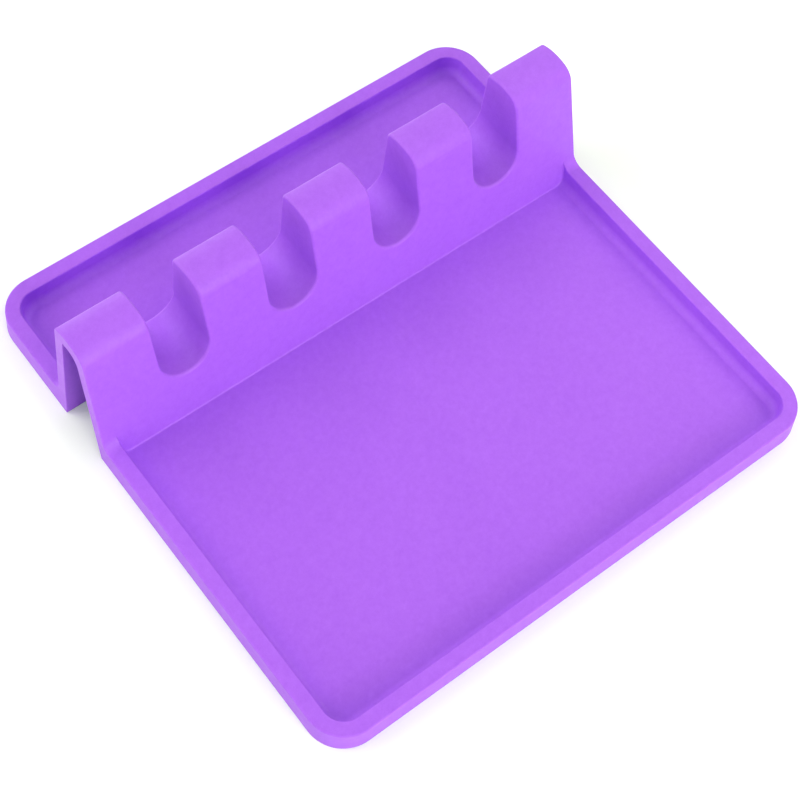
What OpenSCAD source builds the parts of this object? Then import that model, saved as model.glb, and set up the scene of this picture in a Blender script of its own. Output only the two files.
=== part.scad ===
// Spoon rest, compression-moulded in one piece from silicone.
// A wide drip tray lies in front of a folded, hollow ridge and a narrow one behind it.
// The ridge holds the handles of the utensils in its U-shaped notches.
// +X is the width, +Y runs from the front rim to the back rim, and the table is at z = 0.

/* [Tray] */
// Width of the moulding at the table
tray_w = 196; // [160:0.1:240]
// Depth of the moulding at the table, from the front rim to the back rim
tray_d = 192.4; // [175:0.1:240]
// Radius of the outer corners at the table
corner_r = 13.1; // [11.5:0.1:20]
// Height of the rim above the table
rim_h = 9.2; // [7.5:0.1:12]
// Width of the rim's flat top
rim_w = 5.3; // [3.5:0.1:6.5]
// Thickness of the tray floors
floor_t = 2.4; // [1.5:0.1:3.5]
// Radius of the cove between the rim's inner wall and the floor
cove_r = 3; // [1:0.1:3.5]
// Radius of the rim's two top edges
rim_edge_r = 0.5; // [0.3:0.1:1.4]

/* [Ridge] */
// Height of the ridge above the table, at the crown of its top
ridge_h = 52.3; // [40:0.1:65]
// Distance from the tray's front edge at the table to the foot of the ridge
ridge_front = 121.7; // [100:0.1:125]
// Depth of the ridge at the tray floors, over both of its walls
ridge_d = 28.6; // [27:0.1:36]
// Thickness of the ridge's front and back walls
wall_t = 4.4; // [3:0.1:5.3]
// Thickness of the ridge's top
roof_t = 4.9; // [3:0.1:6]
// Lean of the front wall, back from upright
front_lean = 11.3; // [4:0.1:13]
// Lean of the back wall, forward from upright
back_lean = 4.2; // [2:0.1:8]
// Radius of the crowned top
crown_r = 16; // [13:0.5:40]
// Outer radius of the soft bend from the front wall to the top
bend_r = 5.8; // [5.4:0.1:7]
// Radius of the same bend on the hollow's side
hollow_bend_r = 5; // [3:0.1:6]
// Outer radius of the crest along the top's back edge
crest_r = 1.6; // [0.6:0.1:2.5]
// Radius of the blend from the rim's top up into the ridge
blend_r = 4.5; // [2:0.1:8]

/* [Notches] */
// Number of notches
notch_count = 4; // [2:1:5]
// Width of a notch, which is also the diameter of its round bottom
notch_w = 18.6; // [14:0.1:22]
// Distance between the middles of two neighbouring notches
notch_pitch = 41.8; // [34:0.1:44]
// Height of a notch's lowest line above the table
notch_floor = 20.9; // [17:0.1:26]

/* [Mould] */
// Draft on the walls that leave the mould upwards
draft = 2.75; // [1:0.05:4]

/* [Hidden] */
silicone = [0.69, 0.42, 0.98];
$fn = 96;
// How far a cutting shape runs past the face it cuts
overrun = 1;
// Points along an arc of an outline
arc_steps = 8;
// Middle of an outer corner, as the sweep of the rim turns about it
corner_x = tray_w / 2 - corner_r;
corner_y = tray_d / 2 - corner_r;
// The rim's faces, as distances from the middle of an outer corner
outer_top_r = corner_r - rim_h * tan(draft);
inner_top_r = outer_top_r - rim_w;
inner_foot_r = inner_top_r - (rim_h - floor_t) * tan(draft);
// Middle of the cove's arc, which touches the drafted wall and the floor
cove_mid_r = inner_foot_r - cove_r / cos(draft) + cove_r * tan(draft);
// Feet of the ridge's outer faces, at the height of the tray floors
front_foot = ridge_front - tray_d / 2;
back_foot = front_foot + ridge_d;
// How far the two faces lean in by the height of the crown
front_lean_in = (ridge_h - floor_t) * tan(front_lean);
back_lean_in = (ridge_h - floor_t) * tan(back_lean);
// Middle of the crowned top's arc, as (y, z), halfway between the two faces
crown_mid = [(front_foot + front_lean_in + back_foot - back_lean_in) / 2, ridge_h - crown_r];
// Radius of the hollow's back corner, under the crest
hollow_crest_r = crest_r / 2;
notch_r = notch_w / 2;
notch_axis = notch_floor + notch_r;

// Points along an arc about (x, z), from angle a to angle b
function arc(x, z, r, a, b) =
    [for (i = [0:arc_steps]) [x + r * cos(a + (b - a) * i / arc_steps), z + r * sin(a + (b - a) * i / arc_steps)]];

// Distance from a corner to where a fillet touches a side, for a corner that turns by this angle
function tangent(r, turn) = r * tan(turn / 2);

// Section of the rim, as (distance from the corner's middle, height)
function rim_section() = concat(
    [[cove_mid_r, 0], [corner_r, 0]],
    arc(outer_top_r - tangent(rim_edge_r, 90 - draft), rim_h - rim_edge_r, rim_edge_r, draft, 90),
    arc(inner_top_r + tangent(rim_edge_r, 90 - draft), rim_h - rim_edge_r, rim_edge_r, 90, 180 - draft),
    arc(cove_mid_r, floor_t + cove_r, cove_r, -draft, -90)
);

// Middle of the arc, of radius r, that joins a leaning face to the crown inside both of them.
// The face rises from (foot, floor_t). It is a front face for side = 1, and a back face for side = -1.
function joint_mid(foot, side, lean, crown, r) = let (
    up = [side * sin(lean), cos(lean)],
    inwards = [side * cos(lean), -sin(lean)],
    base = [foot, floor_t] + r * inwards,
    across = (crown_mid - base) * inwards
) base + ((crown_mid - base) * up + sqrt(pow(crown - r, 2) - pow(across, 2))) * up;

// Direction from the crown's middle to a point, as an angle
function crown_angle(point) = atan2(point[1] - crown_mid[1], point[0] - crown_mid[0]);

// Section of the ridge as (y, z): two leaning faces under a crown, with its open foot at z = foot
function ridge_section(front, back, crown, r_bend, r_crest, foot) = let (
    bend = joint_mid(front, 1, front_lean, crown, r_bend),
    crest = joint_mid(back, -1, back_lean, crown, r_crest)
) concat(
    [[front - (floor_t - foot) * tan(front_lean), foot], [back + (floor_t - foot) * tan(back_lean), foot]],
    arc(crest[0], crest[1], r_crest, back_lean, crown_angle(crest)),
    arc(crown_mid[0], crown_mid[1], crown, crown_angle(crest), crown_angle(bend)),
    arc(bend[0], bend[1], r_bend, crown_angle(bend), 180 - front_lean)
);

// Runs a section along X, from x1 to x2
module along_x(x1, x2) {
    translate([x1, 0, 0])
        rotate([90, 0, 90])
            linear_extrude(x2 - x1) children();
}

// One straight side of the rim, its length along +Y and its outside towards +X
module rim_side(length) {
    translate([0, length / 2, 0])
        rotate([90, 0, 0])
            linear_extrude(length) polygon(rim_section());
}

// One corner of the rim, the quarter turn between +X and +Y
module rim_corner() {
    rotate_extrude(angle = 90) polygon(rim_section());
}

// The rim, its section swept round the tray
module rim() {
    for (turn = [0, 180]) {
        rotate([0, 0, turn]) {
            translate([corner_x, 0, 0]) rim_side(2 * corner_y);
            translate([0, corner_y, 0]) rotate([0, 0, 90]) rim_side(2 * corner_x);
            translate([corner_x, corner_y, 0]) rim_corner();
            translate([-corner_x, corner_y, 0]) rotate([0, 0, 90]) rim_corner();
        }
    }
}

// The flat sheet that both tray floors are part of, up to the foot of the cove
module floor_sheet() {
    linear_extrude(floor_t)
        union() {
            square([2 * (corner_x + cove_mid_r), 2 * corner_y], center = true);
            square([2 * corner_x, 2 * (corner_y + cove_mid_r)], center = true);
            for (x = [-corner_x, corner_x], y = [-corner_y, corner_y])
                translate([x, y]) circle(cove_mid_r);
        }
}

// A U-shaped channel across the ridge, grown on every side by a margin
module notch(margin) {
    translate([0, back_foot + overrun, notch_axis])
        rotate([90, 0, 0])
            linear_extrude(ridge_d + 2 * overrun)
                union() {
                    circle(notch_r + margin);
                    translate([-notch_r - margin, 0])
                        square([notch_w + 2 * margin, ridge_h - notch_axis + overrun]);
                }
}

// All notches, side by side across the ridge
module notches(margin) {
    for (i = [0:notch_count - 1])
        translate([(i - (notch_count - 1) / 2) * notch_pitch, 0, 0]) notch(margin);
}

// Solid form of the ridge over its whole width, with the notches cut
module ridge_outside() {
    difference() {
        along_x(-tray_w / 2, tray_w / 2)
            polygon(ridge_section(front_foot, back_foot, crown_r, bend_r, crest_r, 0));
        notches(0);
    }
}

// Hollow under the ridge, open at the table and at both ends
module ridge_inside() {
    difference() {
        along_x(-tray_w / 2 - overrun, tray_w / 2 + overrun)
            polygon(ridge_section(
                front_foot + wall_t / cos(front_lean), back_foot - wall_t / cos(back_lean),
                crown_r - roof_t, hollow_bend_r, hollow_crest_r, -overrun
            ));
        notches(wall_t);
    }
}

// Concave blend that lifts the rim's top into the ridge's front face, at the right end
module front_blend() {
    turn = 90 - front_lean;
    foot_y = front_foot + (rim_h - floor_t) * tan(front_lean);
    reach = tangent(blend_r, turn);
    along_x(corner_x + inner_top_r, tray_w / 2)
        polygon(concat(
            arc(foot_y - reach, rim_h + blend_r, blend_r, -90, -front_lean),
            [[foot_y + wall_t / 2, rim_h], [foot_y + wall_t / 2, floor_t], [foot_y - reach, floor_t]]
        ));
}

// Same blend behind the ridge
module back_blend() {
    turn = 90 - back_lean;
    foot_y = back_foot - (rim_h - floor_t) * tan(back_lean);
    reach = tangent(blend_r, turn);
    along_x(corner_x + inner_top_r, tray_w / 2)
        polygon(concat(
            arc(foot_y + reach, rim_h + blend_r, blend_r, 270, 180 + back_lean),
            [[foot_y - wall_t / 2, rim_h], [foot_y - wall_t / 2, floor_t], [foot_y + reach, floor_t]]
        ));
}

// What lies outside the drafted right end of the moulding
module end_trim() {
    translate([tray_w / 2, -tray_d / 2, 0])
        rotate([0, -draft, 0])
            translate([0, 0, -overrun])
                cube([tray_w / 2, tray_d, ridge_h + 2 * overrun]);
}

// The whole moulding
module silicone_moulding() {
    color(silicone)
        difference() {
            union() {
                rim();
                floor_sheet();
                ridge_outside();
                for (side = [0, 1]) {
                    mirror([side, 0, 0]) {
                        front_blend();
                        back_blend();
                    }
                }
            }
            ridge_inside();
            for (side = [0, 1])
                mirror([side, 0, 0]) end_trim();
        }
}

silicone_moulding();
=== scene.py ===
import math

import bmesh
import bpy
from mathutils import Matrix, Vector


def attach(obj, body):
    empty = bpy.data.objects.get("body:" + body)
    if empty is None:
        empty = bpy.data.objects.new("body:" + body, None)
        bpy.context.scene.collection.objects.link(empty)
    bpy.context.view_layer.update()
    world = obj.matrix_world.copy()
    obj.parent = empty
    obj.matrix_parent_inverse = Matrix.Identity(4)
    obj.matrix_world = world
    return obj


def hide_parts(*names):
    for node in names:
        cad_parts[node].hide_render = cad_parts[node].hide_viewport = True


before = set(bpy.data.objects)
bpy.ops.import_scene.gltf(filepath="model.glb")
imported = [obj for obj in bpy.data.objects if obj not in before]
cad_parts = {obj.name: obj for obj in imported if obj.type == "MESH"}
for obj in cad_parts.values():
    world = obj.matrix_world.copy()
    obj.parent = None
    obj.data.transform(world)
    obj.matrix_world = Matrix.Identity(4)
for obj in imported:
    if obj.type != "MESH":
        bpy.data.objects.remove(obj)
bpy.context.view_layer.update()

# Tray
# The real piece is one compression-moulded sheet of silicone, pressed with a solid rim all round.
# Its walls lean by the mould's draft, and a cove joins the rim to the floor.
# It is built in millimetres and made metres when the moulding is whole.
tray_w = 196.0
tray_d = 192.4
corner_r = 13.1
rim_h = 9.2
rim_w = 5.3
floor_t = 2.4
cove_r = 3.0
draft = math.tan(math.radians(2.75))
overrun = 3.0


def round_off(form, edges, radius, segments):
    """Rounds these edges of a form by one radius."""
    bmesh.ops.bevel(
        form, geom=edges, offset=radius, segments=segments, profile=0.5, affect="EDGES", material=-1)


def draw_block(width, depth, low, high, lean_in, corner):
    """Draws a block with round corners. Its sides lean in by lean_in for each millimetre up."""
    form = bmesh.new()
    bmesh.ops.create_cube(form, size=1)
    bmesh.ops.scale(form, vec=(width, depth, high - low), verts=form.verts)
    bmesh.ops.translate(form, vec=(0, 0, (low + high) / 2), verts=form.verts)
    top = [v for v in form.verts if v.co.z > (low + high) / 2]
    inset = 2 * lean_in * (high - low)
    bmesh.ops.scale(form, vec=(1 - inset / width, 1 - inset / depth, 1), verts=top)
    uprights = [e for e in form.edges if abs(e.verts[0].co.z - e.verts[1].co.z) > (high - low) / 2]
    round_off(form, uprights, corner, 16)
    return form


def make_piece(name, form):
    """Links a new object that holds the drawn form."""
    mesh = bpy.data.meshes.new(name)
    form.to_mesh(mesh)
    form.free()
    piece = bpy.data.objects.new(name, mesh)
    bpy.context.scene.collection.objects.link(piece)
    return piece


def redraw_in_order(mesh):
    """Draws a mesh again with sorted vertices and faces, whose order a boolean leaves to chance."""
    ordered = sorted(mesh.vertices, key=lambda v: tuple(v.co.zyx))
    rank = {v.index: i for i, v in enumerate(ordered)}
    rings = []
    for face in mesh.polygons:
        ring = [rank[i] for i in face.vertices]
        start = ring.index(min(ring))
        rings.append(ring[start:] + ring[:start])
    form = bmesh.new()
    verts = [form.verts.new(v.co) for v in ordered]
    for ring in sorted(rings):
        form.faces.new([verts[i] for i in ring])
    return form


def press(piece, tool, operation):
    """Joins a tool to the piece, cuts it out of the piece, or keeps only what both hold."""
    step = piece.modifiers.new("press", "BOOLEAN")
    step.operation = operation
    step.solver = "EXACT"
    step.object = tool
    bpy.context.view_layer.update()
    graph = bpy.context.evaluated_depsgraph_get()
    form = redraw_in_order(piece.evaluated_get(graph).to_mesh())
    piece.modifiers.clear()
    form.to_mesh(piece.data)
    form.free()
    bpy.data.objects.remove(tool)


# The block is larger than the tray, because the outside is pressed last, with the ridge in place.
block = draw_block(tray_w + overrun, tray_d + overrun, 0, rim_h, 0, corner_r)
moulding = make_piece("moulding", block)

# Ridge
# The real ridge is the same sheet folded up between the two trays.
# It has a soft bend in front, a crowned top and a tighter crest behind.
# Its section is a line that is spun round these three arcs, and then drawn out sideways.
ridge_h = 52.3
front_foot = 25.5
back_foot = 54.1
wall_t = 4.4
roof_t = 4.9
front_lean = math.radians(11.3)
back_lean = math.radians(4.2)
crown_r = 16.0
bend_r = 5.8
crest_r = 2.4
hollow_bend_r = 5.0
hollow_crest_r = 0.8
arc_steps = 10
crest_steps = 6
sideways = (1, 0, 0)
front_to_back = (0, 1, 0)
lean_back = (ridge_h - floor_t) * math.tan(front_lean)
lean_forward = (ridge_h - floor_t) * math.tan(back_lean)
crown_mid = Vector((0, (front_foot + lean_back + back_foot - lean_forward) / 2, ridge_h - crown_r))


def joint_mid(foot_y, side, lean, crown, radius):
    """Finds the middle of the arc that joins a leaning face to the crown. The back face has side -1."""
    rising = Vector((0, side * math.sin(lean), math.cos(lean)))
    inwards = Vector((0, side * math.cos(lean), -math.sin(lean)))
    base = Vector((0, foot_y, floor_t)) + radius * inwards
    across = (crown_mid - base).dot(inwards)
    along = (crown_mid - base).dot(rising)
    return base + (along + math.sqrt((crown - radius) ** 2 - across ** 2)) * rising


def spin_on(form, vert, middle, axis, turn, steps):
    """Carries a line on from its last vertex, round a middle, and returns its new last vertex."""
    spun = bmesh.ops.spin(
        form, geom=[vert], cent=middle, axis=axis, angle=turn, steps=steps, use_duplicate=False)
    return next(part for part in spun["geom_last"] if isinstance(part, bmesh.types.BMVert))


def draw_out(form, way):
    """Fills the outline that a form holds and draws it out this way, into a bar."""
    section = bmesh.ops.contextual_create(form, geom=form.edges[:])["faces"]
    drawn = bmesh.ops.extrude_face_region(form, geom=section)["geom"]
    moved = [part for part in drawn if isinstance(part, bmesh.types.BMVert)]
    bmesh.ops.translate(form, vec=way, verts=moved)
    bmesh.ops.recalc_face_normals(form, faces=form.faces)


def draw_ridge(front_y, back_y, crown, bend, crest, low, half_length):
    """Draws a bar with the ridge's section, from one end to the other."""
    form = bmesh.new()
    bend_mid = joint_mid(front_y, 1, front_lean, crown, bend)
    crest_mid = joint_mid(back_y, -1, back_lean, crown, crest)
    bend_end = math.atan2(bend_mid.z - crown_mid.z, bend_mid.y - crown_mid.y)
    crest_start = math.atan2(crest_mid.z - crown_mid.z, crest_mid.y - crown_mid.y)
    start = bend_mid + bend * Vector((0, -math.cos(front_lean), math.sin(front_lean)))
    front = form.verts.new((0, front_y - (floor_t - low) * math.tan(front_lean), low))
    back = form.verts.new((0, back_y + (floor_t - low) * math.tan(back_lean), low))
    line = form.verts.new(start)
    form.edges.new((front, line))
    line = spin_on(form, line, bend_mid, sideways, bend_end - (math.pi - front_lean), arc_steps)
    line = spin_on(form, line, crown_mid, sideways, crest_start - bend_end, arc_steps)
    line = spin_on(form, line, crest_mid, sideways, back_lean - crest_start, crest_steps)
    form.edges.new((line, back))
    form.edges.new((back, front))
    bmesh.ops.remove_doubles(form, verts=form.verts, dist=0.001)
    bmesh.ops.translate(form, vec=(-half_length, 0, 0), verts=form.verts)
    draw_out(form, (2 * half_length, 0, 0))
    return form


half_w = tray_w / 2 + overrun
ridge_bar = draw_ridge(front_foot, back_foot, crown_r, bend_r, crest_r, floor_t / 2, half_w)
ridge = make_piece("ridge", ridge_bar)

# Notches
# The real notches are moulded right through the ridge and lined by the same wall.
# Each is a U-shaped gutter, and the mould rounds its mouths over.
notch_count = 4
notch_w = 18.6
notch_pitch = 41.8
notch_floor = 20.9
notch_axis = notch_floor + notch_w / 2
notch_steps = 48
mouth_r = 1.0
mouth_turn = math.radians(40)
notch_places = [(i - (notch_count - 1) / 2) * notch_pitch for i in range(notch_count)]


def draw_notch(x, radius):
    """Draws a bar with a notch's outline, a slot with a round bottom, from front to back."""
    form = bmesh.new()
    low = front_foot - overrun
    top = ridge_h + overrun
    rims = [form.verts.new((x + side * radius, low, top)) for side in (-1, 1)]
    left = form.verts.new((x - radius, low, notch_axis))
    right = spin_on(form, left, (x, low, notch_axis), front_to_back, -math.pi, notch_steps)
    form.edges.new((rims[0], left))
    form.edges.new((right, rims[1]))
    form.edges.new((rims[1], rims[0]))
    draw_out(form, (0, back_foot - front_foot + 2 * overrun, 0))
    return form


for x in notch_places:
    press(ridge, make_piece("notch", draw_notch(x, notch_w / 2)), "DIFFERENCE")
notched = bmesh.new()
notched.from_mesh(ridge.data)
mouths = [
    e for e in notched.edges
    if e.is_manifold and e.calc_face_angle() > mouth_turn
    and all(abs(v.co.x) < tray_w / 2 and v.co.z > rim_h for v in e.verts)
]
round_off(notched, mouths, mouth_r, 5)
notched.to_mesh(ridge.data)
notched.free()

# Blends and pocket
# At both ends the rim's top sweeps up into the ridge's faces, in front of it and behind it.
# One pocket with drafted walls is pressed for both trays, and the ridge then crosses it.
blend_r = 4.5


def draw_blend(side, lean, foot_y, inner_x, outer_x):
    """Draws the wedge under one blend. Its hollow face is spun from the rim's top to the ridge's face."""
    form = bmesh.new()
    face_y = foot_y + side * (rim_h - floor_t) * math.tan(lean)
    reach = blend_r * math.tan((math.pi / 2 - lean) / 2)
    start_y = face_y - side * reach
    line = form.verts.new((inner_x, start_y, rim_h))
    first = line
    low = form.verts.new((inner_x, start_y, rim_h / 2))
    deep = form.verts.new((inner_x, face_y + side * wall_t / 2, rim_h / 2))
    high = form.verts.new((inner_x, face_y + side * wall_t, rim_h + blend_r))
    middle = (inner_x, start_y, rim_h + blend_r)
    line = spin_on(form, line, middle, sideways, side * (math.pi / 2 - lean), arc_steps)
    form.edges.new((line, high))
    form.edges.new((high, deep))
    form.edges.new((deep, low))
    form.edges.new((low, first))
    draw_out(form, (outer_x - inner_x, 0, 0))
    return form


wall_in = rim_h * draft + rim_w
foot_in = wall_in + (rim_h - floor_t) * draft
inner_top = tray_w / 2 - wall_in
for end in (-1, 1):
    for side, lean, foot_y in ((1, front_lean, front_foot), (-1, back_lean, back_foot)):
        blend = draw_blend(side, lean, foot_y, end * (inner_top - overrun), end * half_w)
        press(moulding, make_piece("blend", blend), "UNION")
pocket_w = tray_w - 2 * foot_in
pocket_d = tray_d - 2 * foot_in
pocket_top = rim_h + blend_r + overrun
pocket = draw_block(pocket_w, pocket_d, floor_t, pocket_top, -draft, corner_r - foot_in)
foot = [e for e in pocket.edges if all(v.co.z < rim_h for v in e.verts)]
round_off(pocket, foot, cove_r, arc_steps)
press(moulding, make_piece("pocket", pocket), "DIFFERENCE")
press(moulding, ridge, "UNION")

# Outside and hollow
# The outside is one drafted wall with round corners, which also forms the ridge's two ends.
# Under the ridge the real piece is hollow, with the same wall round the notches.
# The hollow is open below and at both ends.
outside = draw_block(tray_w, tray_d, 0, ridge_h + overrun, draft, corner_r)
press(moulding, make_piece("outside", outside), "INTERSECT")
hollow_front = front_foot + wall_t / math.cos(front_lean)
hollow_back = back_foot - wall_t / math.cos(back_lean)
hollow_crown_r = crown_r - roof_t
hollow_bar = draw_ridge(
    hollow_front, hollow_back, hollow_crown_r, hollow_bend_r, hollow_crest_r, -overrun, half_w)
hollow = make_piece("hollow", hollow_bar)
for x in notch_places:
    press(hollow, make_piece("lining", draw_notch(x, notch_w / 2 + wall_t)), "DIFFERENCE")
press(moulding, hollow, "DIFFERENCE")

# Moulded edges
# A silicone moulding has no sharp edges, so every edge and every crease has a small radius.
# The edges of the underside and the hollow are the crispest.
# The rim's edges and creases fade out where they run up the blends into the ridge.
edge_r = {"rim": 0.5, "end": 0.45, "hollow": 0.25, "underside": 0.2, "crease": 0.6}
widest = max(edge_r.values())
touch = 0.01
fade_rate = 1.6
edge_turn = math.radians(30)
same_face_turn = math.radians(0.5)
deep_crease_turn = -1
long_crease = 5
whole = bmesh.new()
whole.from_mesh(moulding.data)
bmesh.ops.remove_doubles(whole, verts=whole.verts, dist=0.002)
bmesh.ops.dissolve_limit(whole, angle_limit=same_face_turn, verts=whole.verts, edges=whole.edges)
rising = [
    e for e in whole.edges
    if e.calc_face_angle_signed() < deep_crease_turn and e.calc_length() > long_crease
    and max(v.co.z for v in e.verts) > rim_h > min(v.co.z for v in e.verts)
]
bmesh.ops.bisect_edges(whole, edges=rising, cuts=3)
weights = whole.edges.layers.float.new("bevel_weight_edge")
for edge in whole.edges:
    turn = edge.calc_face_angle_signed()
    if abs(turn) < edge_turn:
        continue
    middle = (edge.verts[0].co + edge.verts[1].co) / 2
    lean_in = (middle.z - floor_t) * math.tan(front_lean)
    between_walls = front_foot + lean_in + wall_t / 2 < middle.y < back_foot - wall_t / 2
    under_crown = (middle - crown_mid).yz.length < crown_r - roof_t / 2
    deep = between_walls and (middle.z < ridge_h - crown_r or under_crown)
    fade = max(0, 1 - max(0, middle.z - rim_h) / blend_r * fade_rate)
    if all(v.co.z < touch for v in edge.verts):
        radius = edge_r["underside"]
    elif deep:
        radius = edge_r["hollow"]
    elif turn < 0:
        radius = edge_r["crease"] * fade
    elif middle.z > rim_h + touch and abs(middle.x) > inner_top + rim_w / 2:
        radius = edge_r["end"]
    elif middle.z > rim_h + touch:
        radius = edge_r["rim"] * fade
    else:
        radius = edge_r["rim"]
    edge[weights] = radius / widest
bmesh.ops.scale(whole, vec=(0.001, 0.001, 0.001), verts=whole.verts)
for face in whole.faces:
    face.smooth = True
whole.to_mesh(moulding.data)
whole.free()
soft_edges = moulding.modifiers.new("soft_edges", "BEVEL")
soft_edges.limit_method = "WEIGHT"
soft_edges.offset_type = "OFFSET"
soft_edges.width = widest / 1000
soft_edges.segments = 4
soft_edges.profile = 0.5
soft_edges.use_clamp_overlap = False
soft_edges.loop_slide = False
even_shading = moulding.modifiers.new("even_shading", "WEIGHTED_NORMAL")
even_shading.keep_sharp = False
even_shading.weight = 50

# Silicone
# Purple silicone with a satin skin. It lets a little light in at its thin edges.
# The mould leaves a fine, even grain on it.
# Its pigment and its gloss vary slightly from place to place.
silicone = bpy.data.materials.new("purple_silicone")
silicone.use_nodes = True
nodes = silicone.node_tree.nodes
links = silicone.node_tree.links
skin = nodes["Principled BSDF"]
skin.inputs["IOR"].default_value = 1.43
skin.inputs["Specular IOR Level"].default_value = 0.3
skin.inputs["Subsurface Weight"].default_value = 0.12
skin.inputs["Subsurface Radius"].default_value = (1.0, 0.55, 1.3)
skin.inputs["Subsurface Scale"].default_value = 0.0012
place = nodes.new("ShaderNodeTexCoord")


def add_noise(scale, detail, roughness=0.55):
    """Adds a noise pattern that lies on the piece, with about this many grains to the metre."""
    noise = nodes.new("ShaderNodeTexNoise")
    noise.inputs["Scale"].default_value = scale
    noise.inputs["Detail"].default_value = detail
    noise.inputs["Roughness"].default_value = roughness
    links.new(place.outputs["Object"], noise.inputs["Vector"])
    return noise


mottle = nodes.new("ShaderNodeMix")
mottle.inputs["Factor"].default_value = 0.75
links.new(add_noise(22, 7).outputs["Fac"], mottle.inputs["A"])
links.new(add_noise(360, 3, 1.0).outputs["Fac"], mottle.inputs["B"])
pigment = nodes.new("ShaderNodeValToRGB")
pigment.color_ramp.elements[0].position = 0.3
pigment.color_ramp.elements[0].color = (0.364, 0.108, 0.74, 1)
pigment.color_ramp.elements[1].position = 0.7
pigment.color_ramp.elements[1].color = (0.424, 0.14, 0.802, 1)
links.new(mottle.outputs["Result"], pigment.inputs["Fac"])
links.new(pigment.outputs["Color"], skin.inputs["Base Color"])
gloss = nodes.new("ShaderNodeMapRange")
gloss.inputs["From Min"].default_value = 0.3
gloss.inputs["From Max"].default_value = 0.7
gloss.inputs["To Min"].default_value = 0.42
gloss.inputs["To Max"].default_value = 0.5
links.new(add_noise(140, 4).outputs["Fac"], gloss.inputs["Value"])
links.new(gloss.outputs["Result"], skin.inputs["Roughness"])
grain = nodes.new("ShaderNodeBump")
grain.inputs["Strength"].default_value = 0.3
grain.inputs["Distance"].default_value = 0.00009
links.new(add_noise(1100, 4).outputs["Fac"], grain.inputs["Height"])
links.new(grain.outputs["Normal"], skin.inputs["Normal"])
moulding.data.materials.clear()
moulding.data.materials.append(silicone)
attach(moulding, "root")
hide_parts("silicone_moulding")
moulding.name = "spoon_rest_moulding"

# Table and light
# A white table in a pale room, with eight large soft lamps round and above the object.
# The table has a faint light of its own that only the camera and reflections see.
# The tint of that light takes away the purple that the silicone throws on the table.
table_half = 3
table_drop = 0.0001
table_glow = 0.17
room_light = 0.15
lamp_size = 0.8
lamp_reach = 1.2


def add_background_rays(tree):
    """Adds a value that is 1 for what the camera, mirrors and glass see, and 0 for all other rays."""
    ray = tree.nodes.new("ShaderNodeLightPath")
    value = ray.outputs["Is Camera Ray"]
    for kind in ("Is Glossy Ray", "Is Transmission Ray"):
        either = tree.nodes.new("ShaderNodeMath")
        either.operation = "MAXIMUM"
        tree.links.new(value, either.inputs[0])
        tree.links.new(ray.outputs[kind], either.inputs[1])
        value = either.outputs["Value"]
    return value


floor_mesh = bpy.data.meshes.new("table")
floor_form = bmesh.new()
bmesh.ops.create_grid(floor_form, x_segments=1, y_segments=1, size=table_half)
bmesh.ops.translate(floor_form, vec=(0, 0, -table_drop), verts=floor_form.verts)
floor_form.to_mesh(floor_mesh)
floor_form.free()
table = bpy.data.objects.new("table", floor_mesh)
bpy.context.scene.collection.objects.link(table)
table_paint = bpy.data.materials.new("white_table")
table_paint.use_nodes = True
paint_nodes = table_paint.node_tree.nodes
paint_links = table_paint.node_tree.links
paint = paint_nodes["Principled BSDF"]
# The paint is a touch less blue, a painted correction that takes away some of the purple light the
# silicone throws on the table.
paint.inputs["Base Color"].default_value = (0.92, 0.92, 0.9, 1)
paint.inputs["Roughness"].default_value = 0.9
paint.inputs["Specular IOR Level"].default_value = 0.0
lift = paint_nodes.new("ShaderNodeMath")
lift.operation = "MULTIPLY"
lift.inputs[1].default_value = table_glow
paint_links.new(add_background_rays(table_paint.node_tree), lift.inputs[0])
paint.inputs["Emission Color"].default_value = (0.62, 0.92, 0.35, 1)
paint_links.new(lift.outputs["Value"], paint.inputs["Emission Strength"])
table.data.materials.append(table_paint)

world = bpy.data.worlds.new("room")
bpy.context.scene.world = world
world.use_nodes = True
room_nodes = world.node_tree.nodes
room_links = world.node_tree.links
room = room_nodes["Background"]
room.inputs["Color"].default_value = (1, 1, 1, 1)
lit = room_nodes.new("ShaderNodeMapRange")
lit.inputs["To Min"].default_value = room_light
lit.inputs["To Max"].default_value = 1.0
room_links.new(add_background_rays(world.node_tree), lit.inputs["Value"])
room_links.new(lit.outputs["Result"], room.inputs["Strength"])


def hang_lamp(name, towards, energy):
    """Hangs a square soft lamp in this direction from the piece, and turns it to face the piece."""
    light = bpy.data.lights.new(name, "AREA")
    light.shape = "SQUARE"
    light.size = lamp_size
    light.energy = energy
    lamp = bpy.data.objects.new(name, light)
    bpy.context.scene.collection.objects.link(lamp)
    lamp.location = lamp_reach * Vector(towards).normalized()
    lamp.rotation_euler = (-lamp.location).to_track_quat("-Z", "Y").to_euler()


hang_lamp("top_lamp", (0, 0, 1), 1.4)
hang_lamp("front_lamp", (0, -1, 0.9), 4.5)
hang_lamp("low_front_lamp", (0, -1, 0.3), 9.0)
hang_lamp("right_lamp", (1, 0, 0.9), 4.0)
hang_lamp("low_back_lamp", (0, 1, 0.15), 6.5)
hang_lamp("back_left_lamp", (-0.75, 0.75, 0.9), 6.6)
hang_lamp("back_right_lamp", (0.75, 0.75, 0.9), 2.0)
hang_lamp("low_left_lamp", (-1, 0, 0.15), 5.0)

# Camera
# It stands where the photograph's camera stood, in front of the tray's left corner and well above it.
camera_data = bpy.data.cameras.new("camera")
camera_data.sensor_width = 36
camera_data.lens = 79.486
camera_data.shift_x = -0.006356
camera_data.shift_y = 0.001136
camera_data.clip_start = 0.01
camera = bpy.data.objects.new("camera", camera_data)
bpy.context.scene.collection.objects.link(camera)
camera.location = (-0.1975, -0.21522, 0.51077)
camera.rotation_euler = (math.radians(28.5759), math.radians(-3.1098), math.radians(-37.4526))
bpy.context.scene.camera = camera
bpy.context.scene.view_settings.view_transform = "Standard"
